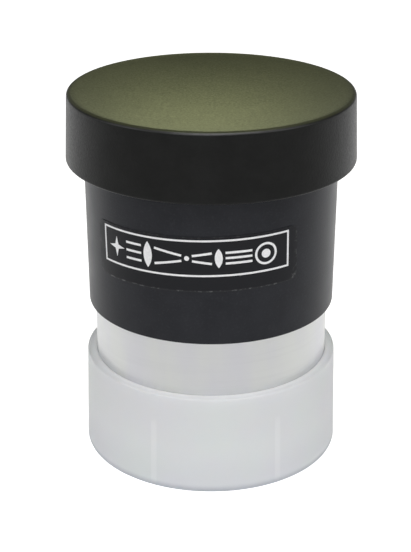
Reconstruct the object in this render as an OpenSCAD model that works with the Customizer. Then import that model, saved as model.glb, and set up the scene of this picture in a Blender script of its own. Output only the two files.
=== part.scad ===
// A 1.25 inch, 20 mm telescope eyepiece of the Kellner type, standing on its barrel cap, with its eye cap on.
// The origin is the centre of the shoulder, where the barrel meets the housing.
// +Z is the optical axis and points at the eye. The label faces -Y.

/* [Barrel] */
// Outside diameter of the barrel, for a 1.25 inch focuser
barrel_d = 31.7; // [31.5:0.05:31.75]
// Length of the barrel below the shoulder
barrel_len = 20.2; // [19.5:0.1:24]
// Full-size length between the shoulder and the safety undercut
barrel_grip_len = 7.9; // [6:0.1:7.9]
// Length of the safety undercut
undercut_len = 5; // [3:0.5:6]
// Radial depth of the safety undercut
undercut_depth = 0.3; // [0.2:0.05:0.6]
// Inside diameter of the bare barrel
barrel_bore_d = 28.8; // [28.6:0.1:29]
// Crest diameter of the filter thread
filter_crest_d = 27.86; // [27.8:0.01:27.9]
// Pitch of the filter thread
filter_pitch = 0.6; // [0.5:0.05:0.75]
// Number of filter thread grooves
filter_turns = 8; // [5:1:8]

/* [Housing] */
// Outside diameter of the housing at the shoulder
housing_low_d = 33.36; // [33.2:0.02:33.6]
// Outside diameter of the housing at its step under the eye cap
housing_top_d = 33.76; // [33.4:0.02:33.78]
// Height of the step that the rubber eyecup sits on
housing_step_z = 20.9; // [20.6:0.1:21]
// Outside diameter of the neck inside the eyecup
neck_d = 30.8; // [30:0.1:31]
// Height of the top of the neck
neck_top_z = 24; // [23.8:0.1:24.4]
// Diameter of the recess over the eye lens at the top of the neck
recess_d = 21.2; // [18:0.2:24]

/* [Eyecup] */
// Height at which the rubber skirt starts to fold
fold_z = 22.3; // [22.2:0.05:22.5]
// Height of the top of the rubber lip
lip_top_z = 26.3; // [26:0.05:26.35]
// Inside diameter of the rubber lip
lip_bore_d = 33.9; // [33.88:0.02:34.1]
// Outside diameter of the rubber lip
lip_d = 35.4; // [35:0.1:35.4]

/* [Eye cap] */
// Outside diameter of the eye cap near its top
eye_cap_top_d = 37.84; // [37.6:0.02:38.4]
// Outside diameter of the eye cap at its mouth
eye_cap_mouth_d = 38.56; // [38.4:0.02:39.4]
// Height of the mouth of the eye cap
eye_cap_mouth_z = 19.85; // [19.4:0.05:20.2]
// Height of the rim of the eye cap
eye_cap_top_z = 29.1; // [29:0.1:31]
// Depth of the dish in the top of the eye cap
dish_depth = 1.6; // [0.8:0.1:1.7]
// Radius of the rounded outer rim of the eye cap
eye_cap_round = 0.9; // [0.4:0.1:1]

/* [Barrel cap] */
// Height of the lip of the barrel cap
barrel_cap_lip_z = -7.7; // [-8.2:0.05:-7.6]
// Outside diameter of the barrel cap just under its lip
barrel_cap_lip_d = 34.36; // [34.2:0.02:34.8]
// Outside diameter of the barrel cap just above its base
barrel_cap_base_d = 35.12; // [34.8:0.02:35.6]
// Thickness of the floor of the barrel cap
barrel_cap_floor = 1.2; // [0.8:0.1:1.6]
// Number of gripping ribs inside the barrel cap
rib_count = 6; // [3:1:8]
// Angle from the front to the first rib
rib_angle = 32.4; // [0:0.1:60]
// Height of the ribs above the floor
rib_height = 8.8; // [5:0.2:9]

/* [Label] */
// Angle from the front to the middle of the label
label_angle = -9.2; // [-180:0.1:180]
// Width of the label round the housing
label_w = 28.8; // [20:0.1:40]
// Height of the label
label_h = 7.4; // [4:0.1:12]
// Height of the middle of the label
label_z = 11.05; // [8:0.05:14]
// Width of the printed frame
frame_w = 26.1; // [16:0.1:38]
// Height of the printed frame
frame_h = 4.95; // [3:0.05:8]
// Height of the middle of the printed frame
frame_z = 11.9; // [9:0.05:14]
// Width of the printed frame's lines
line_w = 0.28; // [0.2:0.02:0.6]
// Lean of the label, with its right end up
label_tilt = 1.5; // [-3:0.1:3]

/* [Optics] */
// Diameter of the eye lens
eye_lens_d = 15; // [14.6:0.1:15]
// Height of the seat of the eye lens
eye_lens_seat_z = 21.6; // [21.4:0.1:21.7]
// Diameter of the field lens
field_lens_d = 22; // [21.6:0.1:22]
// Height of the flat side of the field lens
field_flat_z = -4.2; // [-4.4:0.1:-4]
// Diameter of the opening of the field stop
field_stop_d = 18; // [16:0.5:19]

/* [Hidden] */
$fn = 96;
// finer steps for the large spheres of the dish and the lenses
fine = 256;
// clearances and shared wall sizes
slip = 0.05;
touch = 0.01;

// barrel
barrel_r = barrel_d / 2;
barrel_end_z = -barrel_len;
barrel_bore_r = barrel_bore_d / 2;
undercut_top_z = -barrel_grip_len;
undercut_low_z = undercut_top_z - undercut_len;
barrel_step_z = -2;
barrel_neck_bore_r = 13.2;
barrel_neck_top_z = 5.4;
barrel_neck_root_r = 14.65;
barrel_collar_r = 15.5;
barrel_collar_top_z = 0.8;
barrel_chamfer = 0.4;
mouth_chamfer = 0.35;
body_thread_pitch = 0.75;
body_thread_depth = 0.4;
body_thread_turns = 5;
body_thread_z = 1.2;
filter_crest_r = filter_crest_d / 2;
filter_depth = 0.32;
filter_len = (filter_turns + 0.5) * filter_pitch;

// housing
housing_low_r = housing_low_d / 2;
housing_top_r = housing_top_d / 2;
housing_taper = (housing_top_r - housing_low_r) / housing_step_z;
counterbore_r = barrel_r + 0.05;
neck_r = neck_d / 2;
groove_r = neck_r - 0.5;
groove_low_z = housing_step_z + 0.5;
groove_top_z = groove_low_z + 0.8;
cell_r = 12.6;
cell_bore_r = cell_r + slip;
cell_seat_z = 6.6;
roof_z = 22.6;
recess_low_r = 7.8;

// eyecup
lip_bore_r = lip_bore_d / 2;
lip_r = lip_d / 2;
lip_low_z = lip_top_z - 0.6;
eyecup_base_r = 16.6;
skirt_wall = 0.7;
eyecup_round = 0.3;

// eye cap
eye_cap_top_r = eye_cap_top_d / 2;
eye_cap_mouth_r = eye_cap_mouth_d / 2;
eye_cap_grip_r = lip_r + slip;
eye_cap_lead = 0.25;
eye_cap_mouth_bore_r = eye_cap_grip_r + eye_cap_lead;
eye_cap_mouth_round = 0.35;
eye_cap_ceiling_z = lip_top_z + 0.15;
dish_r = eye_cap_top_r - eye_cap_round;
dish_sphere_r = (dish_r * dish_r + dish_depth * dish_depth) / (2 * dish_depth);

// barrel cap
barrel_cap_base_z = barrel_end_z - 0.1 - barrel_cap_floor;
barrel_cap_floor_z = barrel_cap_base_z + barrel_cap_floor;
barrel_cap_lip_r = barrel_cap_lip_d / 2;
barrel_cap_base_r = barrel_cap_base_d / 2;
barrel_cap_bore_r = barrel_r + 0.2;
rib_tip_r = barrel_r + slip;
rib_w = 1;
rib_slope = 1.2;
foot_r = 12.8;
foot_depth = 0.3;
barrel_cap_round = 0.6;

// label
film_wall = 0.08;
print_wall = 0.03;
label_corner = 1;
stamp_depth = 1.5;
skin_low_z = label_z - label_h;
skin_top_z = label_z + label_h;
star_x = -10.6;
star_r = 1.35;
wide_lens_x = -5.6;
wide_lens_h = 1.75;
wide_lens_bulge = 0.6;
focus_x = -0.4;
focus_r = 0.32;
eye_lens_x = 3.6;
eye_lens_h = 1.3;
eye_lens_bulge = 0.5;
eye_x = 9.7;
eye_r = 1.5;
pupil_r = 0.6;
wide_ray_z = 1.05;
focus_ray_z = 0.35;
eye_ray_z = 0.72;
ray_w = 0.3;
ray_gap = 0.35;

// optics
eye_lens_r = eye_lens_d / 2;
cell_lip_r = 7;
flint_top_sphere_r = 80;
cement_sphere_r = 12;
crown_low_sphere_r = 17;
flint_middle = 1.4;
crown_middle = 5.4;
flint_top_z = eye_lens_seat_z + sag(flint_top_sphere_r, cell_lip_r) - touch;
cement_z = flint_top_z - flint_middle;
crown_low_z = cement_z - crown_middle;
field_lens_r = field_lens_d / 2;
field_sphere_r = 18.1;
field_middle = 5.2;
field_top_z = field_flat_z + field_middle;
lens_play = 0.05;

// lens cell
cell_low_z = -8;
cell_top_z = roof_z - slip;
cell_flange_r = 14.5;
cell_step_z = 14.5;
cell_chamfer = 0.4;
ring_root_r = 11.12;
ring_thread_depth = 0.25;
ring_pitch = 0.5;
ring_turns = 7;
ring_thread_z = cell_low_z + 0.3;
lens_ring_h = 1.7;
lens_ring_bore_r = 10;
field_stop_h = 1.4;
slot_w = 1.2;
slot_depth = 0.8;
stop_slot_depth = 0.5;
stop_chamfer = 0.7;

// spacer
spacer_r = field_lens_r;
spacer_bore_r = 10.2;
nose_r = eye_lens_r;
nose_bore_r = 6.7;
spacer_low_z = field_top_z - sag(field_sphere_r, spacer_bore_r) + touch;
nose_top_z = crown_low_z + sag(crown_low_sphere_r, nose_bore_r) - touch;
spacer_cone_z = 11.5;
spacer_cone_h = 2.2;
baffle_count = 10;
baffle_pitch = 1;
baffle_w = 0.7;
baffle_depth = 0.3;

// height of a spherical cap of radius r_sphere at radius r from its axis
function sag(r_sphere, r) = r_sphere - sqrt(r_sphere * r_sphere - r * r);

// radius of the outside of the housing at height z
function housing_r(z) = housing_low_r + housing_taper * z;

// outline of one stretch of thread as turned rings, from radius r_root out by depth
function thread_outline(r_root, depth, pitch, turns, z) = concat(
    [[0, z]],
    [for (i = [0:turns - 1]) for (p = [[0, 0], [depth, 0.3], [depth, 0.55], [0, 0.85]])
        [r_root + p[0], z + (i + p[1]) * pitch]],
    [[r_root, z + turns * pitch], [0, z + turns * pitch]]);

module turned() {
    rotate_extrude() children();
}

// a ring of square section
module band(r_in, r_out, z_low, z_top) {
    turned() translate([r_in, z_low]) square([r_out - r_in, z_top - z_low]);
}

// what is left of a square corner outside its fillet, with the fillet's centre at [x, z]
module fillet_waste(x, z, r, x_side, z_side) {
    difference() {
        translate([x_side > 0 ? x : x - 2 * r, z_side > 0 ? z : z - 2 * r]) square(2 * r);
        translate([x, z]) circle(r);
    }
}

// two spanner slots across the lower face of a ring
module spanner_slots(z, depth) {
    reach = ring_root_r + 1;
    translate([-reach, -slot_w / 2, z - touch]) cube([2 * reach, slot_w, depth + touch]);
}

// a flat shape drawn in X and Z, pushed outwards through the housing's skin at an angle from the front
module stamp(angle) {
    rotate([0, 0, angle]) rotate([90, 0, 0]) translate([0, 0, housing_low_r - stamp_depth])
        linear_extrude(2 * stamp_depth) children();
}

// a skin on the outside of the housing
module skin(low, high) {
    turned() polygon([
        [housing_r(skin_low_z) + low, skin_low_z], [housing_r(skin_low_z) + high, skin_low_z],
        [housing_r(skin_top_z) + high, skin_top_z], [housing_r(skin_top_z) + low, skin_top_z]]);
}

// leans everything on the label about the label's middle
module askew() {
    rotate([0, 0, label_angle]) translate([0, 0, label_z]) rotate([0, -label_tilt, 0])
        translate([0, 0, -label_z]) rotate([0, 0, -label_angle]) children();
}

// angle that a length round the housing takes up at the label
function turn(length) = length / housing_r(label_z) * 180 / PI;

// a sector of the skin that is w wide round the housing and h high
module sector(w, h, z) {
    rotate([0, 0, -90 + label_angle - turn(w) / 2]) rotate_extrude(angle = turn(w))
        translate([housing_low_r / 2, z - h / 2]) square([housing_low_r, h]);
}

// a straight printed line between two points, given as [round the housing, up] from the frame's middle
module stroke(from, to) {
    middle = (from + to) / 2;
    reach = to - from;
    stamp(label_angle + turn(middle[0])) translate([0, frame_z + middle[1]])
        rotate([0, 0, atan2(reach[1], reach[0])]) square([norm(reach), ray_w], center = true);
}

module eye_cap() {
    color("#2c2d2c") difference() {
        turned() difference() {
            polygon([[0, eye_cap_mouth_z], [eye_cap_mouth_r, eye_cap_mouth_z],
                [eye_cap_top_r, eye_cap_top_z], [0, eye_cap_top_z]]);
            fillet_waste(eye_cap_top_r - eye_cap_round, eye_cap_top_z - eye_cap_round, eye_cap_round, 1, 1);
            fillet_waste(eye_cap_mouth_r - eye_cap_mouth_round, eye_cap_mouth_z + eye_cap_mouth_round,
                eye_cap_mouth_round, 1, -1);
        }
        turned() polygon([[0, eye_cap_mouth_z - 1], [eye_cap_mouth_bore_r + eye_cap_lead, eye_cap_mouth_z - 1],
            [eye_cap_mouth_bore_r + eye_cap_lead, eye_cap_mouth_z],
            [eye_cap_mouth_bore_r, eye_cap_mouth_z + 2 * eye_cap_lead],
            [eye_cap_grip_r, lip_low_z - 1], [eye_cap_grip_r, eye_cap_ceiling_z], [0, eye_cap_ceiling_z]]);
        translate([0, 0, eye_cap_top_z - dish_depth + dish_sphere_r]) sphere(dish_sphere_r, $fn = fine);
    }
}

module eyecup_base() {
    color("#1d1d1e") turned() polygon([[neck_r, housing_step_z], [eyecup_base_r, housing_step_z],
        [eyecup_base_r, fold_z], [neck_r, fold_z], [neck_r, groove_top_z],
        [groove_r, groove_top_z], [groove_r, groove_low_z], [neck_r, groove_low_z]]);
}

// the thin web that turns inside out when the eyecup is folded down
module eyecup_skirt() {
    color("#1d1d1e") turned() polygon([[eyecup_base_r - skirt_wall, fold_z], [eyecup_base_r, fold_z],
        [lip_r - 0.3, fold_z + 0.65], [lip_r, fold_z + 1.4], [lip_r, lip_low_z],
        [lip_bore_r, lip_low_z], [lip_bore_r, fold_z + 1.4], [lip_bore_r - 0.3, fold_z + 0.6]]);
}

module eyecup_lip() {
    color("#1d1d1e") turned() difference() {
        translate([lip_bore_r, lip_low_z]) square([lip_r - lip_bore_r, lip_top_z - lip_low_z]);
        fillet_waste(lip_r - eyecup_round, lip_top_z - eyecup_round, eyecup_round, 1, 1);
        fillet_waste(lip_bore_r + eyecup_round, lip_top_z - eyecup_round, eyecup_round, -1, 1);
    }
}

module housing() {
    color("#242528") difference() {
        turned() difference() {
            polygon([[0, 0], [housing_low_r, 0], [housing_top_r, housing_step_z], [neck_r, housing_step_z],
                [neck_r, groove_low_z], [groove_r, groove_low_z], [groove_r, groove_top_z],
                [neck_r, groove_top_z], [neck_r, neck_top_z], [0, neck_top_z]]);
            fillet_waste(neck_r - 0.4, neck_top_z - 0.4, 0.4, 1, 1);
            fillet_waste(housing_low_r - 0.14, 0.15, 0.15, 1, -1);
        }
        // the recess over the eye lens
        translate([0, 0, roof_z]) cylinder(h = neck_top_z - roof_z, r1 = recess_low_r, r2 = recess_d / 2);
        // bore for the lens cell, and the relief above the barrel's thread
        translate([0, 0, -1]) cylinder(h = roof_z + 1, r = cell_bore_r);
        band(0, barrel_neck_root_r + body_thread_depth + slip, barrel_neck_top_z - 0.2, cell_seat_z);
        // the thread that holds the barrel, and the counterbore that hides its collar
        turned() polygon(thread_outline(barrel_neck_root_r + slip, body_thread_depth, body_thread_pitch,
            body_thread_turns, body_thread_z));
        band(0, barrel_neck_root_r + slip, -1, cell_seat_z);
        band(0, counterbore_r, -1, barrel_collar_top_z);
    }
}

module label_film() {
    // the corner's arc crosses the edges at a slight angle, so that no sliver is left beside it
    corner_w = label_w / 2 - 0.9 * label_corner;
    corner_h = label_h / 2 - 0.9 * label_corner;
    color("#1b1c1f") difference() {
        intersection() {
            skin(0, film_wall);
            askew() sector(label_w, label_h, label_z);
        }
        askew() for (side = [-1, 1]) for (end = [-1, 1]) stamp(label_angle + turn(side * corner_w))
            fillet_waste(0, label_z + end * corner_h, label_corner, side, end);
    }
}

// a plain frame round a ray diagram: a star, its light through a wide lens to a focus, an eye lens and an eye
module label_print() {
    color("white") intersection() {
        skin(film_wall, film_wall + print_wall);
        askew() {
            difference() {
                sector(frame_w, frame_h, frame_z);
                sector(frame_w - 2 * line_w, frame_h - 2 * line_w, frame_z);
            }
            mark(star_x) star_mark(star_r);
            mark(wide_lens_x) lens_mark(wide_lens_h, wide_lens_bulge);
            mark(eye_lens_x) lens_mark(eye_lens_h, eye_lens_bulge);
            mark(focus_x) circle(focus_r);
            mark(eye_x) difference() {
                circle(eye_r);
                circle(eye_r - ray_w);
            }
            mark(eye_x) circle(pupil_r);
            for (side = [-1:1]) {
                stroke([star_x + star_r + ray_gap, side * wide_ray_z],
                    [wide_lens_x - wide_lens_bulge - ray_gap, side * wide_ray_z]);
                stroke([eye_lens_x + eye_lens_bulge + ray_gap, side * eye_ray_z],
                    [eye_x - eye_r - ray_gap, side * eye_ray_z]);
            }
            for (side = [-1, 1]) {
                stroke([wide_lens_x + wide_lens_bulge + ray_gap, side * wide_ray_z],
                    [focus_x - focus_r - ray_gap, side * focus_ray_z]);
                stroke([focus_x + focus_r + ray_gap, side * focus_ray_z],
                    [eye_lens_x - eye_lens_bulge - ray_gap, side * eye_ray_z]);
            }
        }
    }
}

// a flat mark on the label, x round the housing from the middle of the frame
module mark(x) {
    stamp(label_angle + turn(x)) translate([0, frame_z]) children();
}

// a lens seen from the side, half_h from its middle to its tips
module lens_mark(half_h, bulge) {
    arc_r = (half_h * half_h + bulge * bulge) / (2 * bulge);
    intersection() {
        translate([arc_r - bulge, 0]) circle(arc_r);
        translate([bulge - arc_r, 0]) circle(arc_r);
    }
}

// a star with four points
module star_mark(r) {
    waist_r = 0.3 * r;
    polygon([for (i = [0:7]) (i % 2 == 0 ? r : waist_r) * [cos(45 * i), sin(45 * i)]]);
}

module lens_cell() {
    color("#18181a") difference() {
        union() {
            translate([0, 0, cell_low_z]) cylinder(h = cell_top_z - cell_low_z, r = cell_r);
            translate([0, 0, barrel_neck_top_z])
                cylinder(h = cell_seat_z - barrel_neck_top_z, r = cell_flange_r);
        }
        // seats for the eye lens and for the spacer with the field lens
        translate([0, 0, cell_step_z - 1]) cylinder(h = eye_lens_seat_z - cell_step_z + 1,
            r = eye_lens_r + lens_play);
        translate([0, 0, cell_low_z - 1]) cylinder(h = cell_step_z - cell_low_z + 1,
            r = field_lens_r + lens_play);
        translate([0, 0, eye_lens_seat_z - touch])
            cylinder(h = cell_top_z - eye_lens_seat_z + 2 * touch, r1 = cell_lip_r, r2 = recess_low_r);
        // the thread for the two rings under the field lens
        turned() polygon(thread_outline(ring_root_r + slip / 2, ring_thread_depth, ring_pitch,
            ring_turns, ring_thread_z));
        translate([0, 0, cell_low_z - touch])
            cylinder(h = cell_chamfer, r1 = ring_root_r + cell_chamfer, r2 = ring_root_r);
    }
}

module eye_lens_flint() {
    color([0.82, 0.9, 0.86, 0.5]) difference() {
        intersection() {
            translate([0, 0, crown_low_z]) cylinder(h = flint_top_z - crown_low_z + 1, r = eye_lens_r);
            translate([0, 0, flint_top_z - flint_top_sphere_r]) sphere(flint_top_sphere_r, $fn = fine);
        }
        translate([0, 0, cement_z - cement_sphere_r]) sphere(cement_sphere_r, $fn = fine);
        translate([0, 0, crown_low_z - 1])
            cylinder(h = cement_z - sag(cement_sphere_r, eye_lens_r) - crown_low_z + 1, r = eye_lens_r + 1);
    }
}

module eye_lens_crown() {
    color([0.82, 0.88, 0.94, 0.5]) intersection() {
        translate([0, 0, crown_low_z - 1]) cylinder(h = flint_top_z - crown_low_z + 2, r = eye_lens_r);
        translate([0, 0, cement_z - cement_sphere_r]) sphere(cement_sphere_r, $fn = fine);
        translate([0, 0, crown_low_z + crown_low_sphere_r]) sphere(crown_low_sphere_r, $fn = fine);
    }
}

module lens_spacer() {
    color("#1c1c1d") difference() {
        union() {
            translate([0, 0, spacer_low_z]) cylinder(h = cell_step_z - 0.2 - spacer_low_z, r = spacer_r);
            translate([0, 0, cell_step_z - 1]) cylinder(h = nose_top_z - cell_step_z + 1, r = nose_r);
        }
        translate([0, 0, spacer_low_z - 1]) cylinder(h = nose_top_z + 2 - spacer_low_z, r = nose_bore_r);
        translate([0, 0, spacer_low_z - 1]) cylinder(h = spacer_cone_z - spacer_low_z + 1, r = spacer_bore_r);
        translate([0, 0, spacer_cone_z - touch])
            cylinder(h = spacer_cone_h, r1 = spacer_bore_r, r2 = nose_bore_r);
        // rings that stop light from glancing off the bore
        for (i = [0:baffle_count - 1]) translate([0, 0, i * baffle_pitch]) turned()
            polygon([[spacer_bore_r - 1, 0], [spacer_bore_r, 0], [spacer_bore_r + baffle_depth, baffle_w / 2],
                [spacer_bore_r, baffle_w], [spacer_bore_r - 1, baffle_w]]);
    }
}

module field_lens() {
    color([0.82, 0.88, 0.94, 0.5]) intersection() {
        translate([0, 0, field_flat_z]) cylinder(h = field_middle + 1, r = field_lens_r);
        translate([0, 0, field_top_z - field_sphere_r]) sphere(field_sphere_r, $fn = fine);
    }
}

// a threaded ring with its lower face at height z, its turns in step with the cell's thread
module threaded_ring(z, h) {
    first_z = ring_thread_z + ceil((z - ring_thread_z) / ring_pitch + 0.2) * ring_pitch;
    turns = floor((z + h - first_z) / ring_pitch - 0.2);
    turned() polygon(thread_outline(ring_root_r - slip / 2, ring_thread_depth, ring_pitch, turns, first_z));
    translate([0, 0, z]) cylinder(h = h, r = ring_root_r - slip / 2);
}

module field_lens_ring() {
    low_z = field_flat_z - lens_ring_h;
    color("#1a1a1b") difference() {
        threaded_ring(low_z, lens_ring_h);
        translate([0, 0, low_z - 1]) cylinder(h = lens_ring_h + 2, r = lens_ring_bore_r);
        spanner_slots(low_z, slot_depth);
    }
}

module field_stop() {
    top_z = field_flat_z - lens_ring_h - slip;
    low_z = top_z - field_stop_h;
    color("#1a1a1b") difference() {
        threaded_ring(low_z, field_stop_h);
        translate([0, 0, low_z - 1]) cylinder(h = field_stop_h + 2, r = field_stop_d / 2);
        translate([0, 0, low_z + field_stop_h / 2]) cylinder(h = field_stop_h / 2 + touch,
            r1 = field_stop_d / 2, r2 = field_stop_d / 2 + stop_chamfer);
        spanner_slots(low_z, stop_slot_depth);
    }
}

module barrel() {
    color("#d5d6d4") difference() {
        union() {
            turned() polygon([[0, barrel_end_z], [barrel_r - barrel_chamfer, barrel_end_z],
                [barrel_r, barrel_end_z + barrel_chamfer], [barrel_r, undercut_low_z],
                [barrel_r - undercut_depth, undercut_low_z + undercut_depth],
                [barrel_r - undercut_depth, undercut_top_z], [barrel_r, undercut_top_z], [barrel_r, 0],
                [barrel_collar_r, 0], [barrel_collar_r, barrel_collar_top_z],
                [0, barrel_collar_top_z]]);
            cylinder(h = barrel_neck_top_z, r = barrel_neck_root_r);
            turned() polygon(thread_outline(barrel_neck_root_r, body_thread_depth, body_thread_pitch,
                body_thread_turns, body_thread_z));
        }
        translate([0, 0, barrel_step_z - 1])
            cylinder(h = barrel_neck_top_z - barrel_step_z + 2, r = barrel_neck_bore_r);
        translate([0, 0, barrel_end_z + filter_len])
            cylinder(h = barrel_step_z - barrel_end_z - filter_len, r = barrel_bore_r);
        // the filter thread
        translate([0, 0, barrel_end_z - 1]) cylinder(h = filter_len + 2, r = filter_crest_r);
        turned() polygon(thread_outline(filter_crest_r, filter_depth, filter_pitch, filter_turns,
            barrel_end_z + 0.2));
        translate([0, 0, barrel_end_z - touch])
            cylinder(h = mouth_chamfer, r1 = filter_crest_r + mouth_chamfer, r2 = filter_crest_r);
    }
}

module barrel_cap() {
    lip_round = (barrel_cap_lip_r - barrel_cap_bore_r) / 2;
    lip_round_z = barrel_cap_lip_z - lip_round;
    color("#ccd1d3") {
        turned() difference() {
            polygon([[0, barrel_cap_base_z], [barrel_cap_base_r, barrel_cap_base_z],
                [barrel_cap_lip_r, barrel_cap_lip_z], [barrel_cap_bore_r, barrel_cap_lip_z],
                [barrel_cap_bore_r, barrel_cap_floor_z], [0, barrel_cap_floor_z]]);
            translate([-1, barrel_cap_base_z - 1]) square([foot_r + 1, foot_depth + 1]);
            fillet_waste(barrel_cap_base_r - barrel_cap_round, barrel_cap_base_z + barrel_cap_round,
                barrel_cap_round, 1, -1);
            fillet_waste(barrel_cap_lip_r - lip_round, lip_round_z, lip_round, 1, 1);
            fillet_waste(barrel_cap_bore_r + lip_round, lip_round_z, lip_round, -1, 1);
        }
        for (i = [0:rib_count - 1]) rotate([0, 0, rib_angle - 90 + i * 360 / rib_count]) rib();
    }
}

// one gripping rib, on +X, with a sloping top that leads the barrel in
module rib() {
    rotate([90, 0, 0]) linear_extrude(rib_w, center = true)
        polygon([[rib_tip_r, barrel_cap_floor_z - 0.2], [barrel_cap_bore_r + 0.3, barrel_cap_floor_z - 0.2],
            [barrel_cap_bore_r + 0.3, barrel_cap_floor_z + rib_height],
            [rib_tip_r, barrel_cap_floor_z + rib_height - rib_slope]]);
}

eye_cap();
eyecup_base();
eyecup_skirt();
eyecup_lip();
housing();
label_film();
label_print();
lens_cell();
eye_lens_crown();
eye_lens_flint();
lens_spacer();
field_lens();
field_lens_ring();
field_stop();
barrel();
barrel_cap();
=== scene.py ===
"""The looks of a telescope eyepiece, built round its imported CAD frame.

Lengths are in metres. Z is the optical axis, with 0 at the shoulder where the barrel meets the
housing, and the label faces -Y. Sizes come from the frame's boxes and the named walls below.
"""

import math

import bmesh
import bpy
import numpy as np
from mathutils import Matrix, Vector


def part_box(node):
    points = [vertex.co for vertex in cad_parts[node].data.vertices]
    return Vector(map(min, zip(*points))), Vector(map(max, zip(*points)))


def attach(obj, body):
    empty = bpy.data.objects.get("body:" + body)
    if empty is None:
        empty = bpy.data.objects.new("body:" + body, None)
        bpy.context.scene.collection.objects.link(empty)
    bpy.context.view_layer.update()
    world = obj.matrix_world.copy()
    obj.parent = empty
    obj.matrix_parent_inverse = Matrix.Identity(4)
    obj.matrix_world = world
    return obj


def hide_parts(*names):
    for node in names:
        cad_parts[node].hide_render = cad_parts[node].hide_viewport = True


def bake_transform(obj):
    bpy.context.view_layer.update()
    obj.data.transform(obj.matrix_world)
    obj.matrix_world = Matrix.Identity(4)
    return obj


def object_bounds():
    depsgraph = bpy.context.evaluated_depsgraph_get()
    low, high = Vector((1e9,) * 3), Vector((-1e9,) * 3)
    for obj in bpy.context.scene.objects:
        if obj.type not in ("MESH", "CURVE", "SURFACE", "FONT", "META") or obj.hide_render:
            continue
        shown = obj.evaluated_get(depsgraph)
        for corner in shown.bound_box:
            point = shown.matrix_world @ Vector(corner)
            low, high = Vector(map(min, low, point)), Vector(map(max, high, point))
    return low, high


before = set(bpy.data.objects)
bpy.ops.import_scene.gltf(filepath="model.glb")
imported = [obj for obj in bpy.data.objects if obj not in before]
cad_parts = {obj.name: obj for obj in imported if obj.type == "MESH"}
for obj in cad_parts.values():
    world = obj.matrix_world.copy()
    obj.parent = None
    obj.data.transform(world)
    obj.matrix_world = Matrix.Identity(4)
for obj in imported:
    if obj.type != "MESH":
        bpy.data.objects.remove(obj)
cad_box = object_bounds()

MM = 0.001


def radius(node):
    """Largest radius of a round CAD node."""
    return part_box(node)[1].x


def low(node):
    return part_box(node)[0].z


def high(node):
    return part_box(node)[1].z


# gap between pieces that slide or screw into one another
SLIP = 0.05 * MM

# barrel
BARREL_R = radius("barrel")
BARREL_END_Z = low("barrel")
UNDERCUT_TOP_Z = -7.9 * MM
UNDERCUT_LOW_Z = -12.9 * MM
UNDERCUT_DEPTH = 0.3 * MM
BORE_R = 14.4 * MM
NECK_BORE_R = 13.2 * MM
NECK_R = 14.65 * MM
COLLAR_R = 15.5 * MM
COLLAR_TOP_Z = 0.8 * MM
BORE_STEP_Z = -2 * MM
FILTER_CREST_R = 13.93 * MM
FILTER_DEPTH = 0.32 * MM
FILTER_PITCH = 0.6 * MM
FILTER_TURNS = 8
RELIEF_DEPTH = 0.4 * MM

# housing
HOUSING_TOP_R = radius("housing")
HOUSING_TAPER = 0.2 * MM
STEP_Z = low("eyecup_base")
NECK_TOP_Z = high("housing")
EYE_NECK_R = 15.4 * MM
GROOVE_R = 14.9 * MM
GROOVE_LOW_Z = STEP_Z + 0.5 * MM
GROOVE_TOP_Z = STEP_Z + 1.3 * MM
RECESS_R = 10.6 * MM
RECESS_LOW_R = 7.8 * MM
ROOF_Z = 22.6 * MM
CELL_BORE_R = 12.65 * MM

# eyecup
CUP_BASE_R = radius("eyecup_base")
FOLD_Z = high("eyecup_base")
LIP_R = radius("eyecup_lip")
LIP_WALL = 0.75 * MM
LIP_BORE_R = LIP_R - LIP_WALL
LIP_LOW_Z = low("eyecup_lip")
LIP_TOP_Z = high("eyecup_lip")
SKIRT_WALL = 0.7 * MM

# caps
CAP_MOUTH_R = radius("eye_cap")
CAP_TAPER = 0.36 * MM
# the rim is sharper than the CAD's, so the top sits lower
CAP_TOP_DROP = 0.15 * MM
CAP_TOP_Z = high("eye_cap") - CAP_TOP_DROP
CAP_ROUND = 0.5 * MM
DISH_DEPTH = 1.6 * MM
CAP_GRIP_R = LIP_R + SLIP
DUST_CAP_R = radius("barrel_cap")
DUST_CAP_TAPER = 0.38 * MM
DUST_CAP_GAP = 0.2 * MM
DUST_CAP_BORE_R = BARREL_R + DUST_CAP_GAP
DUST_CAP_FLOOR = 1.2 * MM
DUST_CAP_ROUND = 0.6 * MM
DUST_CAP_LIP_ROUND = 0.25 * MM
SEAL_GAP = 0.03 * MM
# strength of the painted glow at the dust cap's lip, an emission though it is no lamp
PAINTED_LIP_GLOW = 0.16
RIB_TIP_R = BARREL_R + SLIP
RIB_COUNT = 6
RIB_ANGLE = math.radians(32.4)
RIB_HEIGHT = 8.8 * MM
RIB_LEAD = 1.2 * MM
RIB_W = 1 * MM
FOOT_R = 12.8 * MM
FOOT_DEPTH = 0.3 * MM

# label
LABEL_ANGLE = math.radians(-9.2)
LABEL_TILT = math.radians(1.5)
LABEL_W = 28.8 * MM
LABEL_H = 7.4 * MM
LABEL_Z = (low("label_film") + high("label_film")) / 2
LABEL_CORNER = 1 * MM
FILM_WALL = 0.08 * MM
PRINT_WALL = 0.03 * MM
PRINT_BITE = 0.005 * MM
FRAME_W = 26 * MM
FRAME_H = 4.95 * MM
FRAME_RISE = 0.85 * MM
LINE_W = 0.25 * MM
RAY_W = 0.3 * MM
RAY_GAP = 0.35 * MM

# shape of the meshes
SEGMENTS = 192
SUPPORT = 0.03 * MM
LONGEST = 1 * MM
SHARP = math.radians(38)


# ---- outlines and solids ----


def spread(outline):
    """The same closed outline with its long stretches split, except along the axis."""
    filled = []
    for here, there in zip(outline, outline[1:] + outline[:1]):
        here, there = np.array(here, float), np.array(there, float)
        on_axis = here[0] == 0 and there[0] == 0
        parts = 1 if on_axis else max(1, math.ceil(np.linalg.norm(there - here) / LONGEST))
        filled += [here + (there - here) * k / parts for k in range(parts)]
    return filled


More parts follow.
